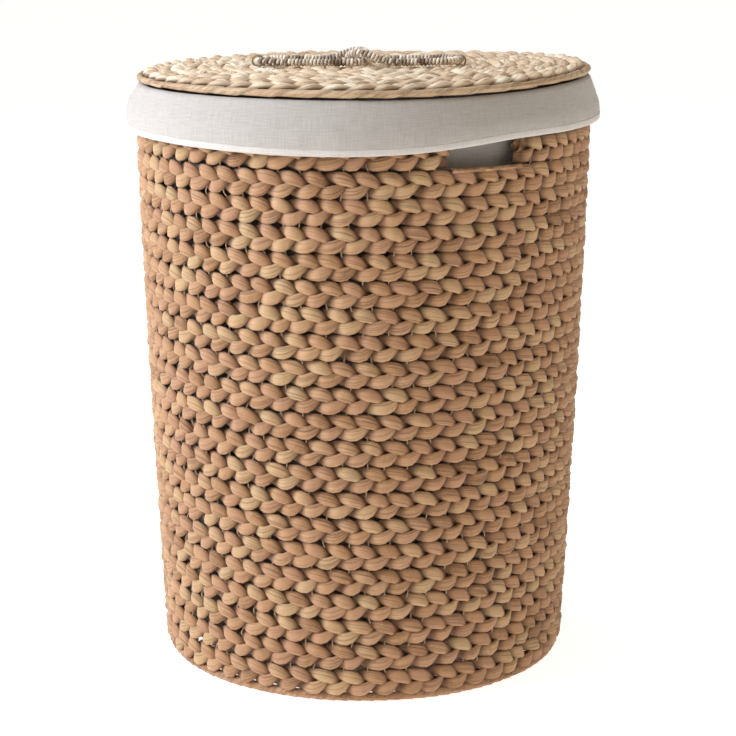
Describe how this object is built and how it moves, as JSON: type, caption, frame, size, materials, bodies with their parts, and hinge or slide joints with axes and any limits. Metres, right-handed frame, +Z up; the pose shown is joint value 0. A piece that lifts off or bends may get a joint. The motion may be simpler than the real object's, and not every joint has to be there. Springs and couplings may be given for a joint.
{
  "type": "laundry basket",
  "caption": "Round plaited leaf laundry basket with lift-off lid, wrapped cord handle, cut hand-holes and a cloth liner folded over the rim.",
  "frame": {"origin": "centre of the circle on which the foot ring stands, on the floor", "axes": "+Z up along the basket's axis; -Y is the front, with the lid's handle along X; +X to the right seen from the front"},
  "size_m": [0.4878, 0.4878, 0.6373],
  "materials": {
    "plaited_leaf": "matte",
    "lid_and_floor_leaf": "matte",
    "wrapped_leaf": "matte",
    "stitching_twine": "matte",
    "frame_wire": "satin",
    "liner_cloth": "matte",
    "hem_cloth": "matte",
    "wrapped_cord": "matte"
  },
  "bodies": {
    "basket": {"foot_ring": "wrapped_leaf", "rim_ring": "wrapped_leaf", "wall_stitching": "stitching_twine", "course_01": "plaited_leaf", "course_02": "plaited_leaf", "course_03": "plaited_leaf", "course_04": "plaited_leaf", "course_05": "plaited_leaf", "course_06": "plaited_leaf", "course_07": "plaited_leaf", "course_08": "plaited_leaf", "course_09": "plaited_leaf", "course_10": "plaited_leaf", "course_11": "plaited_leaf", "course_12": "plaited_leaf", "course_13": "plaited_leaf", "course_14": "plaited_leaf", "course_15": "plaited_leaf", "course_16": "plaited_leaf", "course_17": "plaited_leaf", "course_18": "plaited_leaf", "course_19": "plaited_leaf", "course_20": "plaited_leaf", "course_21": "plaited_leaf", "course_22": "plaited_leaf", "hand_hole_sill_front": "wrapped_leaf", "hand_hole_sill_back": "wrapped_leaf", "frame_uprights": "frame_wire", "frame_top_hoop": "frame_wire", "frame_floor_hoop": "frame_wire", "frame_floor_spokes": "frame_wire", "floor_mat": "lid_and_floor_leaf"},
    "liner": {"liner_bottom": "liner_cloth", "liner_side": "liner_cloth", "liner_fold": "liner_cloth", "liner_cuff": "liner_cloth", "liner_hem": "hem_cloth"},
    "lid": {"lid_ring": "wrapped_leaf", "lid_spokes": "frame_wire", "lid_centre": "lid_and_floor_leaf", "lid_stitching": "stitching_twine", "lid_coil_1": "lid_and_floor_leaf", "lid_coil_2": "lid_and_floor_leaf", "lid_coil_3": "lid_and_floor_leaf", "lid_coil_4": "lid_and_floor_leaf", "lid_coil_5": "lid_and_floor_leaf", "lid_coil_6": "lid_and_floor_leaf", "lid_coil_7": "lid_and_floor_leaf", "lid_coil_8": "lid_and_floor_leaf", "handle_lashing_left": "wrapped_cord", "handle_lashing_right": "wrapped_cord"},
    "left_loop": {"handle_loop_left": "wrapped_cord"},
    "right_loop": {"handle_loop_right": "wrapped_cord"}
  },
  "joints": [
    {"name": "liner_lift", "type": "slide", "parent": "basket", "child": "liner", "axis": [0, 0, 1], "range_m": [0, 0.6]},
    {"name": "lid_lift", "type": "slide", "parent": "liner", "child": "lid", "axis": [0, 0, 1], "range_m": [0, 0.4]},
    {"name": "left_loop_lift", "type": "hinge", "parent": "lid", "child": "left_loop", "pos_m": [-0.1092, -0.008, 0.6236], "axis": [0, -1, 0], "range_deg": [0, 12]},
    {"name": "right_loop_lift", "type": "hinge", "parent": "lid", "child": "right_loop", "pos_m": [0.0998, -0.008, 0.6236], "axis": [0, 1, 0], "range_deg": [0, 12]}
  ],
  "couplings": [
    {"joint": "right_loop_lift", "follows": "left_loop_lift", "ratio": 1}
  ]
}
